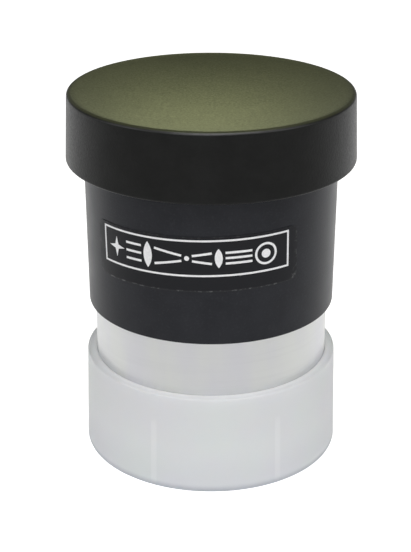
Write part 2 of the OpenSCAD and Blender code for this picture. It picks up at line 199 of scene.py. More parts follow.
def rounded(*corners, arc_steps=5):
    """A closed outline through (radius, height, rounding) corners."""
    outline = []
    for i, (r, z, rounding) in enumerate(corners):
        here = np.array((r, z))
        if not rounding:
            outline.append(here)
            continue
        back = np.array(corners[i - 1][:2]) - here
        ahead = np.array(corners[(i + 1) % len(corners)][:2]) - here
        back /= np.linalg.norm(back)
        ahead /= np.linalg.norm(ahead)
        half = math.acos(np.clip(back @ ahead, -1, 1)) / 2
        reach = rounding / math.tan(half)
        middle = (back + ahead) / np.linalg.norm(back + ahead)
        centre = here + middle * rounding / math.sin(half)
        start = here + back * reach - centre
        end = here + ahead * reach - centre
        sweep = math.copysign(math.pi - 2 * half, start[0] * end[1] - start[1] * end[0])
        outline.append(here + back * (reach + SUPPORT))
        outline += [centre + turned(start, sweep * k / arc_steps) for k in range(arc_steps + 1)]
        outline.append(here + ahead * (reach + SUPPORT))
    return spread(outline)


def turned(point, angle):
    c, s = math.cos(angle), math.sin(angle)
    return np.array((point[0] * c - point[1] * s, point[0] * s + point[1] * c))


def solid(name, points, faces):
    """A closed smooth mesh with sharp edges kept."""
    mesh = bpy.data.meshes.new(name)
    mesh.from_pydata(points, [], faces)
    edit = bmesh.new()
    edit.from_mesh(mesh)
    bmesh.ops.recalc_face_normals(edit, faces=edit.faces)
    edit.to_mesh(mesh)
    edit.free()
    mesh.shade_smooth()
    mesh.set_sharp_from_angle(angle=SHARP)
    piece = bpy.data.objects.new(name, mesh)
    bpy.context.scene.collection.objects.link(piece)
    return piece


def lathe(name, outline, segments=SEGMENTS, relief=None):
    """A solid turned round Z from a closed outline of (radius, height) points.
    relief(angle, radius, height) gives another radius, for threads and ribs."""
    points, rings = [], []
    for r, z in outline:
        if r == 0:
            rings.append([len(points)])
            points.append((0, 0, z))
            continue
        rings.append(range(len(points), len(points) + segments))
        for k in range(segments):
            angle = 2 * math.pi * k / segments
            reach = relief(angle, r, z) if relief else r
            points.append((reach * math.cos(angle), reach * math.sin(angle), z))
    faces = []
    for ring, after in zip(rings, rings[1:] + rings[:1]):
        if len(ring) == len(after) == 1:
            continue
        for k in range(segments):
            quad = [ring[k % len(ring)], after[k % len(after)]]
            quad += [after[(k + 1) % len(after)], ring[(k + 1) % len(ring)]]
            faces.append(list(dict.fromkeys(quad)))
    return solid(name, points, faces)


def thread_cut(angle, z, start_z, pitch, turns, depth):
    """Depth of a helical thread at a point: flat crests and roots, faded in and out."""
    along = (z - start_z) / pitch
    if not 0 < along < turns:
        return 0
    phase = (along - angle / (2 * math.pi)) % 1
    profile = np.interp(phase, (0, 0.3, 0.55, 0.85, 1), (0, 1, 1, 0, 0))
    fade = min(1, along, turns - along)
    return depth * profile * fade


def fit(piece, finish, slot, body, *nodes):
    """Gives a piece its finish, its CAD body and the CAD nodes that it stands for."""
    piece.data.materials.append(finish)
    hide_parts(*nodes)
    if body:
        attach(piece, body)
    return piece


# ---- finishes ----


class Finish:
    """A material and a short way to wire its nodes."""

    def __init__(self, name, **settings):
        self.material = bpy.data.materials.new(name)
        self.material.use_nodes = True
        self.tree = self.material.node_tree
        self.shader = self.tree.nodes["Principled BSDF"]
        self.place = self.node("TexCoord", output="Object")
        for field, value in settings.items():
            self.put(field.replace("_", " "), value)

    def link(self, socket, value):
        if isinstance(value, bpy.types.NodeSocket):
            self.tree.links.new(value, socket)
        else:
            socket.default_value = value

    def put(self, field, value):
        self.link(self.shader.inputs[field], value)

    def node(self, kind, inputs=None, output=0, **settings):
        made = self.tree.nodes.new("ShaderNode" + kind)
        for field, value in settings.items():
            setattr(made, field, value)
        for field, value in (inputs or {}).items():
            self.link(made.inputs[field], value)
        return made.outputs[output]

    def scaled(self, size, stretch=(1, 1, 1)):
        scale = [s / size for s in stretch]
        return self.node("Mapping", {"Vector": self.place, "Scale": scale})

    def noise(self, size, detail=2, stretch=(1, 1, 1)):
        """Noise with features about size metres across, about 0.5 on average."""
        return self.node(
            "TexNoise", {"Vector": self.scaled(size, stretch), "Scale": 1, "Detail": detail}
        )

    def specks(self, spacing, size, amount):
        """1 inside small round specks, in about amount of the cells."""
        cells = {"Vector": self.scaled(spacing), "Scale": 1}
        near = self.node("TexVoronoi", cells, output="Distance")
        tone = self.node("TexVoronoi", cells, output="Color")
        chance = self.node("SeparateColor", {0: tone})
        inside = self.ramp(near, size / spacing, 0.6 * size / spacing)
        return self.math("MULTIPLY", inside, self.math("LESS_THAN", chance, amount))

    def math(self, operation, a, b=0.0):
        return self.node("Math", {0: a, 1: b}, operation=operation)

    def ramp(self, value, start, end, first=0.0, last=1.0):
        """first where value is start, last where it is end, smooth between."""
        flip = start > end
        inputs = {"Value": value, 1: min(start, end), 2: max(start, end)}
        inputs.update({3: last if flip else first, 4: first if flip else last})
        return self.node("MapRange", inputs, interpolation_type="SMOOTHSTEP")

    def mix(self, factor, first, last):
        inputs = {0: factor, 6: first, 7: last}
        return self.node("Mix", inputs, output=2, data_type="RGBA")

    def bump(self, height, distance, after=None):
        inputs = {"Height": height, "Distance": distance, "Strength": 1}
        if after is not None:
            inputs["Normal"] = after
        return self.node("Bump", inputs)

    def height(self):
        return self.node("SeparateXYZ", {0: self.place}, output=2)

    def across(self):
        """Distance from the optical axis."""
        flat = self.node("VectorMath", {0: self.place, 1: (1, 1, 0)}, operation="MULTIPLY")
        return self.node("VectorMath", {0: flat}, output="Value", operation="LENGTH")


def rgb(r, g, b):
    return (r, g, b, 1)


def eye_cap_finish():
    """Moulded black plastic with a fine spark-eroded grain; its upward faces get a painted
    yellow-green sheen.
    """
    f = Finish("eye_cap_plastic", IOR=1.5)
    grain = f.noise(0.28 * MM, 4)
    mottle = f.noise(3 * MM, 3)
    side = f.mix(f.ramp(mottle, 0.3, 0.7), rgb(0.006, 0.0064, 0.006), rgb(0.009, 0.0095, 0.009))
    # painted sheen: this yellow-green colour stands in for light reflected off the dish; the black
    # is the plastic's own colour
    painted_olive_sheen = f.mix(f.ramp(mottle, 0.3, 0.7), rgb(0.06, 0.065, 0.03), rgb(0.068, 0.073, 0.035))
    # faces that point up get the painted sheen in place of the black
    height = f.node("SeparateXYZ", {0: f.node("TexCoord", output="Normal")}, output=2)
    up = f.ramp(height, 0.55, 0.9)
    colour = f.mix(up, side, painted_olive_sheen)
    colour = f.mix(f.math("MULTIPLY", grain, 0.3), colour, rgb(0.002, 0.002, 0.002))
    dust = f.specks(2.6 * MM, 0.09 * MM, 0.12)
    f.put("Base Color", f.mix(f.math("MULTIPLY", dust, 0.4), colour, rgb(0.4, 0.39, 0.36)))
    rough = f.ramp(grain, 0.25, 0.75, 0.32, 0.44)
    f.put("Roughness", f.math("ADD", rough, f.math("MULTIPLY", up, 0.08)))
    f.put("Specular IOR Level", f.ramp(height, 0.1, 0.4, 0.2, 0.75))
    f.put("Normal", f.bump(grain, 0.02 * MM))
    return f.material


def housing_finish():
    """Black anodised aluminium under a semi-gloss coat, with faint turning lines."""
    f = Finish("housing_anodised", IOR=1.5)
    grain = f.noise(0.28 * MM, 4)
    lines = f.noise(0.14 * MM, 2, (0.02, 0.02, 1))
    mottle = f.noise(4 * MM, 3)
    dark, pale = rgb(0.0125, 0.013, 0.0165), rgb(0.017, 0.0178, 0.022)
    colour = f.mix(f.ramp(mottle, 0.3, 0.7), dark, pale)
    colour = f.mix(f.ramp(grain, 0.5, 0.75, 0, 0.35), colour, rgb(0.03, 0.032, 0.038))
    dust = f.specks(3 * MM, 0.07 * MM, 0.12)
    f.put("Base Color", f.mix(f.math("MULTIPLY", dust, 0.4), colour, rgb(0.35, 0.36, 0.38)))
    f.put("Roughness", f.ramp(mottle, 0.2, 0.8, 0.34, 0.4))
    f.put("Specular IOR Level", 0.27)
    f.put("Specular Tint", rgb(0.94, 0.96, 1))
    fine = f.bump(grain, 0.008 * MM)
    f.put("Normal", f.bump(lines, 0.01 * MM, fine))
    return f.material


def film_finish():
    """Glossy black label film: it dulls and gathers dust along its edge."""
    f = Finish("label_film", IOR=1.5)
    edge = f.node("Attribute", output="Fac", attribute_name="edge")
    dusty = f.ramp(f.noise(0.5 * MM, 3), 0.48, 0.7, 0.12, 0.9)
    rim = f.math("MULTIPLY", edge, dusty)
    scuff = f.noise(2.5 * MM, 4, (1, 1, 3))
    grey = f.math("MULTIPLY", rim, 0.4)
    f.put("Base Color", f.mix(grey, rgb(0.0115, 0.012, 0.0148), rgb(0.4, 0.4, 0.4)))
    worn = f.ramp(scuff, 0.3, 0.7, 0.3, 0.36)
    f.put("Roughness", f.math("ADD", worn, f.math("MULTIPLY", rim, 0.3)))
    f.put("Specular IOR Level", 0.2)
    f.put("Normal", f.bump(f.noise(1.2 * MM, 2), 0.01 * MM))
    return f.material


def ink_finish():
    """Opaque white screen ink, slightly uneven."""
    f = Finish("label_ink", IOR=1.45)
    body = f.noise(0.25 * MM, 3)
    thick = f.ramp(body, 0.35, 0.65)
    f.put("Base Color", f.mix(thick, rgb(0.9, 0.9, 0.92), rgb(0.98, 0.98, 0.98)))
    f.put("Roughness", 0.55)
    f.put("Normal", f.bump(body, 0.01 * MM))
    return f.material


def rubber_finish():
    """Matte black rubber, a little grey where it flexes."""
    f = Finish("eyecup_rubber", IOR=1.52)
    grain = f.noise(0.1 * MM, 4)
    bloom = f.noise(2.2 * MM, 4)
    pale = f.ramp(bloom, 0.35, 0.7)
    f.put("Base Color", f.mix(pale, rgb(0.012, 0.012, 0.012), rgb(0.026, 0.026, 0.025)))
    f.put("Roughness", f.ramp(grain, 0.2, 0.8, 0.62, 0.78))
    f.put("Normal", f.bump(grain, 0.02 * MM))
    return f.material


def aluminium_finish():
    """Satin aluminium turned on a lathe: fine rings, streaks and a darkened bore."""
    f = Finish("barrel_aluminium", Metallic=1.0)
    fine = f.noise(0.09 * MM, 3, (0.012, 0.012, 1))
    coarse = f.noise(0.55 * MM, 3, (0.03, 0.03, 1))
    cloud = f.noise(5 * MM, 3, (1, 1, 0.3))
    bare = f.mix(f.ramp(cloud, 0.3, 0.7), rgb(0.75, 0.75, 0.778), rgb(0.78, 0.79, 0.77))
    bare = f.mix(f.ramp(coarse, 0.45, 0.75, 0, 0.06), bare, rgb(0.5, 0.5, 0.5))
    inside = f.ramp(f.across(), BORE_R + 0.3 * MM, BORE_R + 0.1 * MM)
    above = f.ramp(f.height(), BARREL_END_Z + 0.2 * MM, BARREL_END_Z + 0.5 * MM)
    blacked = f.math("MULTIPLY", inside, above)
    f.put("Base Color", f.mix(blacked, bare, rgb(0.02, 0.02, 0.021)))
    f.put("Metallic", f.ramp(blacked, 0, 1, 1, 0.2))
    f.put("Roughness", f.ramp(fine, 0.3, 0.7, 0.34, 0.46))
    f.put("Anisotropic", 0.5)
    f.put("Tangent", f.node("Tangent", direction_type="RADIAL", axis="Z"))
    f.put("Normal", f.bump(fine, 0.004 * MM, f.bump(coarse, 0.002 * MM)))
    return f.material


def ribs_behind(f):
    """1 where the view through the cap's wall, bent as it enters, ends on a rib of the bore."""
    surface = f.node("NewGeometry", output="Normal")
    incoming = f.node("NewGeometry", output="Incoming")
    view = f.node("VectorMath", {0: incoming, 1: (-1, -1, -1)}, operation="MULTIPLY")
    inward = f.node("VectorMath", {0: view, 1: surface, 3: 1 / 1.5}, operation="REFRACT")
    slant = f.node("VectorMath", {0: inward, 1: surface}, output="Value", operation="DOT_PRODUCT")
    path = f.math("DIVIDE", DUST_CAP_BORE_R - DUST_CAP_R, slant)
    reach = f.node("VectorMath", {0: inward, 3: path}, operation="SCALE")
    behind = f.node("VectorMath", {0: f.place, 1: reach}, operation="ADD")
    x = f.node("SeparateXYZ", {0: behind}, output=0)
    y = f.node("SeparateXYZ", {0: behind}, output=1)
    z = f.node("SeparateXYZ", {0: behind}, output=2)
    turn = f.math("SUBTRACT", f.math("ARCTAN2", x, f.math("MULTIPLY", y, -1)), RIB_ANGLE)
    band = f.ramp(f.math("COSINE", f.math("MULTIPLY", turn, RIB_COUNT)), 0.982, 0.996)
    rib_top_z = low("barrel_cap") + DUST_CAP_FLOOR + RIB_HEIGHT
    head = f.ramp(z, rib_top_z, rib_top_z - 1.5 * MM)
    return f.math("MULTIPLY", band, head)


def polythene_finish():
    """Milky polythene: light travels in it. Painted on top: paler bands where its ribs show
    through, painted shade darkening its lower wall and foot, and a painted glow at the lip's inner
    edge."""
    f = Finish("barrel_cap_polythene", IOR=1.5, Specular_IOR_Level=0.25)
    cloud = f.noise(9 * MM, 2)
    milk = f.mix(f.ramp(cloud, 0.3, 0.7), rgb(0.82, 0.825, 0.855), rgb(0.815, 0.85, 0.845))
    # painted light: the wall is painted paler where a rib of the bore lies behind it, for light
    # showing through the ribs
    milk = f.mix(f.math("MULTIPLY", ribs_behind(f), 0.3), milk, rgb(0.97, 0.98, 0.99))
    base_z = low("barrel_cap")
    # painted shade: the wall is painted darker towards the base, against the light the floor
    # throws up on it
    shade = f.ramp(f.height(), base_z + 7 * MM, base_z + 0.5 * MM, 0, 0.13)
    milk = f.mix(shade, milk, rgb(0.3, 0.32, 0.36))
    # painted shade along the foot's rounded edge
    foot = f.ramp(f.height(), base_z + 1.3 * MM, base_z + 0.2 * MM, 0, 0.9)
    milk = f.mix(foot, milk, rgb(0.42, 0.44, 0.48))
    f.put("Base Color", milk)
    # painted glow: emission near the lip's inner edge brightens the lip and its seam with the
    # barrel
    inner = f.ramp(f.across(), BARREL_R + 1.33 * MM, BARREL_R + 0.3 * MM, 0, PAINTED_LIP_GLOW)
    lip_z = high("barrel_cap")
    f.put("Emission Color", rgb(0.96, 0.98, 1))
    painted_glow_near_lip = f.ramp(f.height(), lip_z - 0.8 * MM, lip_z - 0.1 * MM)
    f.put("Emission Strength", f.math("MULTIPLY", inner, painted_glow_near_lip))
    f.put("Subsurface Weight", 1.0)
    f.put("Subsurface Radius", (1, 1.05, 1.1))
    f.put("Subsurface Scale", 1.2 * MM)
    f.put("Roughness", f.ramp(f.noise(0.5 * MM, 3), 0.3, 0.7, 0.36, 0.44))
    f.put("Normal", f.bump(f.noise(0.3 * MM, 3), 0.006 * MM))
    return f.material


def black_metal_finish():
    """Matte black anodised aluminium, for the lens cell, its spacer and its rings."""
    f = Finish("optics_black", IOR=1.5, Metallic=0.3)
    lines = f.noise(0.12 * MM, 2, (0.02, 0.02, 1))
    tone = f.noise(1.5 * MM, 3)
    pale = f.ramp(tone, 0.3, 0.7)
    f.put("Base Color", f.mix(pale, rgb(0.012, 0.012, 0.013), rgb(0.022, 0.022, 0.024)))
    f.put("Roughness", f.ramp(tone, 0.3, 0.7, 0.5, 0.62))
    f.put("Normal", f.bump(lines, 0.01 * MM))
    return f.material


def glass_finish(name, index, tint, coat):
    """Optical glass with a coloured anti-reflection coating and a breath of dust."""
    f = Finish(name, IOR=index, Roughness=0.0)
    f.put("Base Color", tint)
    f.put("Transmission Weight", 1.0)
    f.put("Specular Tint", coat)
    dust = f.specks(1.4 * MM, 0.05 * MM, 0.25)
    f.put("Roughness", f.ramp(dust, 0, 1, 0.0, 0.5))
    return f.material


# ---- pieces ----


def eye_cap_shell():
    mouth_z, top_z = low("eye_cap"), CAP_TOP_Z
    ceiling_z = LIP_TOP_Z + 0.15 * MM
    grip_low_z = LIP_LOW_Z - 1 * MM
    lead = 0.25 * MM
    bore_r = CAP_GRIP_R + lead
    top_r = CAP_MOUTH_R - CAP_TAPER
    dish_r = top_r - CAP_ROUND
    slope = 2 * math.atan(DISH_DEPTH / dish_r)
    skirt = rounded(
        (0, ceiling_z, 0),
        (CAP_GRIP_R, ceiling_z, 0.3 * MM),
        (CAP_GRIP_R, grip_low_z, 0),
        (bore_r, mouth_z + 2 * lead, 0),
        (bore_r + lead, mouth_z, 0),
        (CAP_MOUTH_R, mouth_z, 0.35 * MM),
        (top_r, top_z - CAP_ROUND, 0),
    )
    wall = skirt[: [tuple(p) for p in skirt].index((top_r, top_z - CAP_ROUND)) + 1]
    rim_steps = 9
    rim = [
        (
            dish_r + CAP_ROUND * math.cos((math.pi / 2 + slope) * k / rim_steps),
            top_z - CAP_ROUND + CAP_ROUND * math.sin((math.pi / 2 + slope) * k / rim_steps),
        )
        for k in range(1, rim_steps + 1)
    ]
    edge_r, edge_z = rim[-1]
    sphere_r = edge_r / math.sin(slope)
    dish_steps = 24
    dish = []
    for k in range(1, dish_steps + 1):
        a = slope * (1 - k / dish_steps)
        r = sphere_r * math.sin(a) if k < dish_steps else 0
        dish.append((r, edge_z - sphere_r * (math.cos(a) - math.cos(slope))))
    piece = lathe("eye_cap_shell", list(wall) + rim + dish)
    return fit(piece, eye_cap_finish(), "eye_cap", "eye_cap", "eye_cap")


def eyecup_rubber():
    """Base, folding skirt and lip in one moulding; the skirt's outline has a bend."""
    lip_round, bend = 0.3 * MM, 0.3 * MM
    outer_bend_z, inner_bend_z = FOLD_Z + 0.65 * MM, FOLD_Z + 0.6 * MM
    straight_z = FOLD_Z + 1.4 * MM
    outline = rounded(
        (EYE_NECK_R, STEP_Z, 0),
        (CUP_BASE_R, STEP_Z, 0.25 * MM),
        (CUP_BASE_R, FOLD_Z, 0),
        (LIP_R - bend, outer_bend_z, 0.5 * MM),
        (LIP_R, straight_z, 0.6 * MM),
        (LIP_R, LIP_TOP_Z, lip_round),
        (LIP_BORE_R, LIP_TOP_Z, lip_round),
        (LIP_BORE_R, straight_z, 0.5 * MM),
        (LIP_BORE_R - bend, inner_bend_z, 0.4 * MM),
        (CUP_BASE_R - SKIRT_WALL, FOLD_Z, 0),
        (EYE_NECK_R, FOLD_Z, 0),
        (EYE_NECK_R, GROOVE_TOP_Z, 0),
        (GROOVE_R, GROOVE_TOP_Z, 0),
        (GROOVE_R, GROOVE_LOW_Z, 0),
        (EYE_NECK_R, GROOVE_LOW_Z, 0),
    )
    piece = lathe("eyecup_rubber", outline)
    nodes = ("eyecup_base", "eyecup_skirt", "eyecup_lip")
    fit(piece, rubber_finish(), "eyecup_rubber", None, *nodes)
    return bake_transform(piece)


def housing_r(z):
    """Outside radius of the housing at height z."""
    return HOUSING_TOP_R - HOUSING_TAPER * (1 - z / STEP_Z)


def housing_shell():
    counterbore_r = BARREL_R + SLIP
    body_bore_r = NECK_R + SLIP
    relief_r = body_bore_r + RELIEF_DEPTH
    relief_z, seat_z = 5.2 * MM, 6.6 * MM
    outline = rounded(
        (counterbore_r, 0, 0),
        (housing_r(0), 0, 0.16 * MM),
        (HOUSING_TOP_R, STEP_Z, 0.12 * MM),
        (EYE_NECK_R, STEP_Z, 0),
        (EYE_NECK_R, GROOVE_LOW_Z, 0),
        (GROOVE_R, GROOVE_LOW_Z, 0),
        (GROOVE_R, GROOVE_TOP_Z, 0),
        (EYE_NECK_R, GROOVE_TOP_Z, 0),
        (EYE_NECK_R, NECK_TOP_Z, 0.4 * MM),
        (RECESS_R, NECK_TOP_Z, 0.12 * MM),
        (RECESS_LOW_R, ROOF_Z, 0),
        (CELL_BORE_R, ROOF_Z, 0),
        (CELL_BORE_R, seat_z, 0),
        (relief_r, seat_z, 0),
        (relief_r, relief_z, 0),
        (body_bore_r, relief_z, 0),
        (body_bore_r, COLLAR_TOP_Z, 0),
        (counterbore_r, COLLAR_TOP_Z, 0),
    )
    piece = lathe("housing_shell", outline)
    return fit(piece, housing_finish(), "housing", "eyepiece", "housing")


def barrel_tube():
    """The bare barrel, with a helical filter thread in its mouth."""
    thread_z = BARREL_END_Z + 0.2 * MM
    turns = FILTER_TURNS + 0.3
    thread_top_z = thread_z + turns * FILTER_PITCH
    chamfer, mouth_chamfer = 0.4 * MM, 0.35 * MM
    outline = rounded(
        (COLLAR_R, COLLAR_TOP_Z, 0),
        (NECK_R, COLLAR_TOP_Z, 0),
        (NECK_R, high("barrel"), 0.3 * MM),
        (NECK_BORE_R, high("barrel"), 0.1 * MM),
        (NECK_BORE_R, BORE_STEP_Z, 0),
        (BORE_R, BORE_STEP_Z, 0),
        (BORE_R, thread_top_z, 0),
        (FILTER_CREST_R, thread_top_z, 0),
    )
    rows = 12 * FILTER_TURNS
    outline += [
        np.array((FILTER_CREST_R, thread_top_z + (thread_z - thread_top_z) * k / rows))
        for k in range(1, rows + 1)
    ]
    outline += rounded(
        (FILTER_CREST_R + mouth_chamfer, BARREL_END_Z, 0.1 * MM),
        (BARREL_R - chamfer, BARREL_END_Z, 0.1 * MM),
        (BARREL_R, BARREL_END_Z + chamfer, 0.1 * MM),
        (BARREL_R, UNDERCUT_LOW_Z, 0.05 * MM),
        (BARREL_R - UNDERCUT_DEPTH, UNDERCUT_LOW_Z + UNDERCUT_DEPTH, 0.05 * MM),
        (BARREL_R - UNDERCUT_DEPTH, UNDERCUT_TOP_Z, 0.03 * MM),
        (BARREL_R, UNDERCUT_TOP_Z, 0.05 * MM),
        (BARREL_R, 0, 0),
        (COLLAR_R, 0, 0),
    )

    def thread(angle, r, z):
        if r != FILTER_CREST_R:
            return r
        return r + thread_cut(angle, z, thread_z, FILTER_PITCH, turns, FILTER_DEPTH)

    piece = lathe("barrel_tube", outline, relief=thread)
    return fit(piece, aluminium_finish(), "barrel", "eyepiece", "barrel")


def rib_share(angle):
    """1 on the middle of a gripping rib, 0 beside it, with round shoulders."""
    pitch = 2 * math.pi / RIB_COUNT
    off = (angle - (RIB_ANGLE - math.pi / 2) + pitch / 2) % pitch - pitch / 2
    across = abs(off) * DUST_CAP_BORE_R / (RIB_W / 2)
    return float(np.clip(1.5 - 1.1 * across * across, 0, 1))


def barrel_cap_shell():
    base_z, lip_z = low("barrel_cap"), high("barrel_cap")
    floor_z = base_z + DUST_CAP_FLOOR
    lip_r = DUST_CAP_R - DUST_CAP_TAPER
    lip_bore_r = BARREL_R + SEAL_GAP
    seal_low_z, bore_top_z = lip_z - 0.4 * MM, lip_z - 0.9 * MM
    rib_top_z = floor_z + RIB_HEIGHT
    outline = rounded(
        (0, base_z + FOOT_DEPTH, 0),
        (FOOT_R, base_z + FOOT_DEPTH, 0.12 * MM),
        (FOOT_R, base_z, 0.1 * MM),
        (DUST_CAP_R, base_z, DUST_CAP_ROUND),
        (lip_r, lip_z, DUST_CAP_LIP_ROUND),
        (lip_bore_r, lip_z, 0.1 * MM),
        (lip_bore_r, seal_low_z, 0),
        (DUST_CAP_BORE_R, bore_top_z, 0),
        (DUST_CAP_BORE_R, rib_top_z, 0),
        (DUST_CAP_BORE_R, rib_top_z - 0.3 * MM, 0),
        (DUST_CAP_BORE_R, rib_top_z - RIB_LEAD, 0),
        (DUST_CAP_BORE_R, floor_z, 0.3 * MM),
        (0, floor_z, 0),
        arc_steps=6,
    )

    def rib(angle, r, z):
        if abs(r - DUST_CAP_BORE_R) > 1e-9 or z > rib_top_z:
            return r
        lead = min(1, (rib_top_z - z) / RIB_LEAD)
        return r + (RIB_TIP_R - DUST_CAP_BORE_R) * rib_share(angle) * lead

    piece = lathe("barrel_cap_shell", outline, segments=540, relief=rib)
    return fit(piece, polythene_finish(), "barrel_cap", "barrel_cap", "barrel_cap")


# ---- label ----


def wrap(point, lift):
    """A label point, given as lengths round the housing and up, on the leaning label."""
    middle_r = housing_r(LABEL_Z)
    angle = point[0] / middle_r
    x, y = middle_r * math.sin(angle), middle_r * math.cos(angle)
    x, up = turned((x, point[1]), LABEL_TILT)
    angle = LABEL_ANGLE + math.atan2(x, y)
    r = housing_r(LABEL_Z + up) + lift
    return (r * math.sin(angle), -r * math.cos(angle), LABEL_Z + up)


def wrapped(loops, foot, top, edge=None):
    """Points and faces of one closed patch: nested loops on top, the same underneath.
    The loops have equal lengths, and the last may be a single point."""
    points, faces = [], []
    count = len(loops[0])
    sides = [[], []]
    for side, lift in enumerate((top, foot)):
        for loop in loops:
            sides[side].append(range(len(points), len(points) + len(loop)))
            points += [wrap(p, lift) for p in loop]
    rows = [sides[1][-1 - i] for i in range(len(loops))] + sides[0]
    ring_shaped = len(loops[-1]) > 1
    pairs = list(zip(rows, rows[1:])) + ([(rows[-1], rows[0])] if ring_shaped else [])
    for row, after in pairs:
        for k in range(count):
            quad = [row[k % len(row)], row[(k + 1) % len(row)]]
            quad += [after[(k + 1) % len(after)], after[k % len(after)]]
            quad = list(dict.fromkeys(quad))
            if len(quad) > 2:
                faces.append(quad)
    return points, faces


def between(outer, inner, steps):
    """Loops from outer to inner, which has as many points or is one point."""
    outer = np.array(outer)
    inner = np.array(inner)
    loops = [outer + (inner - outer) * k / steps for k in range(steps)]
    return loops + [inner if inner.ndim == 2 else inner[None]]


def box_loop(half_w, half_h, corner=0.0, step=0.4 * MM):
    """Points round a box, with round corners if a radius is given."""
    loop = []
    for side_x, side_y, first in ((1, 1, 0), (-1, 1, 1), (-1, -1, 2), (1, -1, 3)):
        centre = np.array((side_x * (half_w - corner), side_y * (half_h - corner)))
        arc = 6 if corner else 0
        for k in range(arc + 1):
            angle = math.pi / 2 * (first + (k / arc if arc else 0.5))
            loop.append(centre + corner * np.array((math.cos(angle), math.sin(angle))))
    dense = []
    for here, there in zip(loop, loop[1:] + loop[:1]):
        parts = max(1, math.ceil(np.linalg.norm(there - here) / step))
        dense += [here + (there - here) * k / parts for k in range(parts)]
    return dense


def label_sheet():
    outer = box_loop(LABEL_W / 2, LABEL_H / 2, LABEL_CORNER)
    bevel, rings, clean_edge = 0.03 * MM, 18, 0.25
    inner = [p * (1 - bevel / np.linalg.norm(p)) for p in outer]
    loops = [outer] + between(inner, (0.0, 0.0), rings)
    points, faces = wrapped(loops, 0, FILM_WALL)
    piece = solid("label_sheet", points, faces)
    rim = piece.data.attributes.new("edge", "FLOAT", "POINT")
    count = len(outer)
    dusty = [1 if p[1] < -0.4 * LABEL_H else clean_edge for p in outer]
    for start in (0, len(points) // 2):
        for k in range(2 * count):
            rim.data[start + k].value = dusty[k % count]
    return fit(piece, film_finish(), "label", "eyepiece", "label_film")


def circle_loop(centre, r, count=32):
    turns = [2 * math.pi / count * k for k in range(count)]
    return [np.array(centre) + r * np.array((math.cos(a), math.sin(a))) for a in turns]


def lens_loop(x, half_h, bulge, count=16):
    """Outline of a biconvex lens seen from the side."""
    arc_r = (half_h * half_h + bulge * bulge) / (2 * bulge)
    half = math.asin(half_h / arc_r)
    loop = []
    for side in (1, -1):
        for k in range(count):
            a = side * (half - 2 * half * k / count)
            out = arc_r * math.cos(a) - arc_r + bulge
            loop.append(np.array((x + side * out, arc_r * math.sin(a))))
    return loop


def star_loop(x, r):
    """Outline of a four-pointed star."""
    loop = []
    for k in range(8):
        reach = r if k % 2 == 0 else 0.3 * r
        a = k * math.pi / 4
        loop.append(np.array((x + reach * math.cos(a), reach * math.sin(a))))
    return loop


def stroke_loop(start, end, width):
    """A straight line of the given width, split along its length."""
    start, end = np.array(start), np.array(end)
    along = (end - start) / np.linalg.norm(end - start)
    out = np.array((-along[1], along[0])) * width / 2
    parts = 8
    path = [start + (end - start) * k / parts for k in range(parts + 1)]
    return [p - out for p in path] + [p + out for p in reversed(path)]


def label_ink():
    """A plain frame round a ray diagram: star, wide lens, focus, eye lens, eye."""
    star_x, wide_x, focus_x = -10.6 * MM, -5.6 * MM, -0.4 * MM
    lens_x, eye_x = 3.6 * MM, 9.7 * MM
    star_r, focus_r, eye_r, pupil_r = 1.35 * MM, 0.32 * MM, 1.5 * MM, 0.6 * MM
    wide_half, wide_bulge = 1.75 * MM, 0.6 * MM
    lens_half, lens_bulge = 1.3 * MM, 0.5 * MM
    wide_ray, near_ray, eye_ray = 1.05 * MM, 0.35 * MM, 0.72 * MM
    filled = [
        star_loop(star_x, star_r),
        lens_loop(wide_x, wide_half, wide_bulge),
        lens_loop(lens_x, lens_half, lens_bulge),
        circle_loop((focus_x, 0), focus_r),
        circle_loop((eye_x, 0), pupil_r),
    ]

    def ray(left, left_up, right, right_up):
        start, end = (left + RAY_GAP, left_up), (right - RAY_GAP, right_up)
        filled.append(stroke_loop(start, end, RAY_W))

    for side in (-1, 0, 1):
        ray(star_x + star_r, side * wide_ray, wide_x - wide_bulge, side * wide_ray)
        ray(lens_x + lens_bulge, side * eye_ray, eye_x - eye_r, side * eye_ray)
    for side in (-1, 1):
        ray(wide_x + wide_bulge, side * wide_ray, focus_x - focus_r, side * near_ray)
        ray(focus_x + focus_r, side * near_ray, lens_x - lens_bulge, side * eye_ray)
    patches = [between(loop, sum(loop) / len(loop), 2) for loop in filled]
    patches.append(between(box_loop(FRAME_W / 2, FRAME_H / 2), inner_frame(), 2))
    eye = (eye_x, 0)
    patches.append(between(circle_loop(eye, eye_r), circle_loop(eye, eye_r - RAY_W), 2))
    points, faces = [], []
    foot, top = FILM_WALL - PRINT_BITE, FILM_WALL + PRINT_WALL
    for loops in patches:
        shifted = [loop + np.array((0, FRAME_RISE)) for loop in loops]
        more_points, more_faces = wrapped(shifted, foot, top)
        faces += [[i + len(points) for i in face] for face in more_faces]
        points += more_points
    piece = solid("label_ink", points, faces)
    return fit(piece, ink_finish(), "label_print", "eyepiece", "label_print")


def inner_frame():
    """The frame's inner edge, with the outer edge's points pulled in by the line's width."""
    outer = np.array(box_loop(FRAME_W / 2, FRAME_H / 2))
    scale = np.array((1 - 2 * LINE_W / FRAME_W, 1 - 2 * LINE_W / FRAME_H))
    return outer * scale


# ---- optics ----


def sag(sphere_r, r):
    return sphere_r - math.sqrt(sphere_r * sphere_r - r * r)


def cap_of(sphere_r, edge_r, pole_z, steps=20):
    """Points from the pole out to edge_r on a spherical face.
    It bulges up, or down if the radius is negative."""
    way = -1 if sphere_r > 0 else 1
    size = abs(sphere_r)
    out = [(0, pole_z)]
    for k in range(1, steps + 1):
        r = edge_r * k / steps
        out.append((r, pole_z + way * sag(size, r)))
    return out


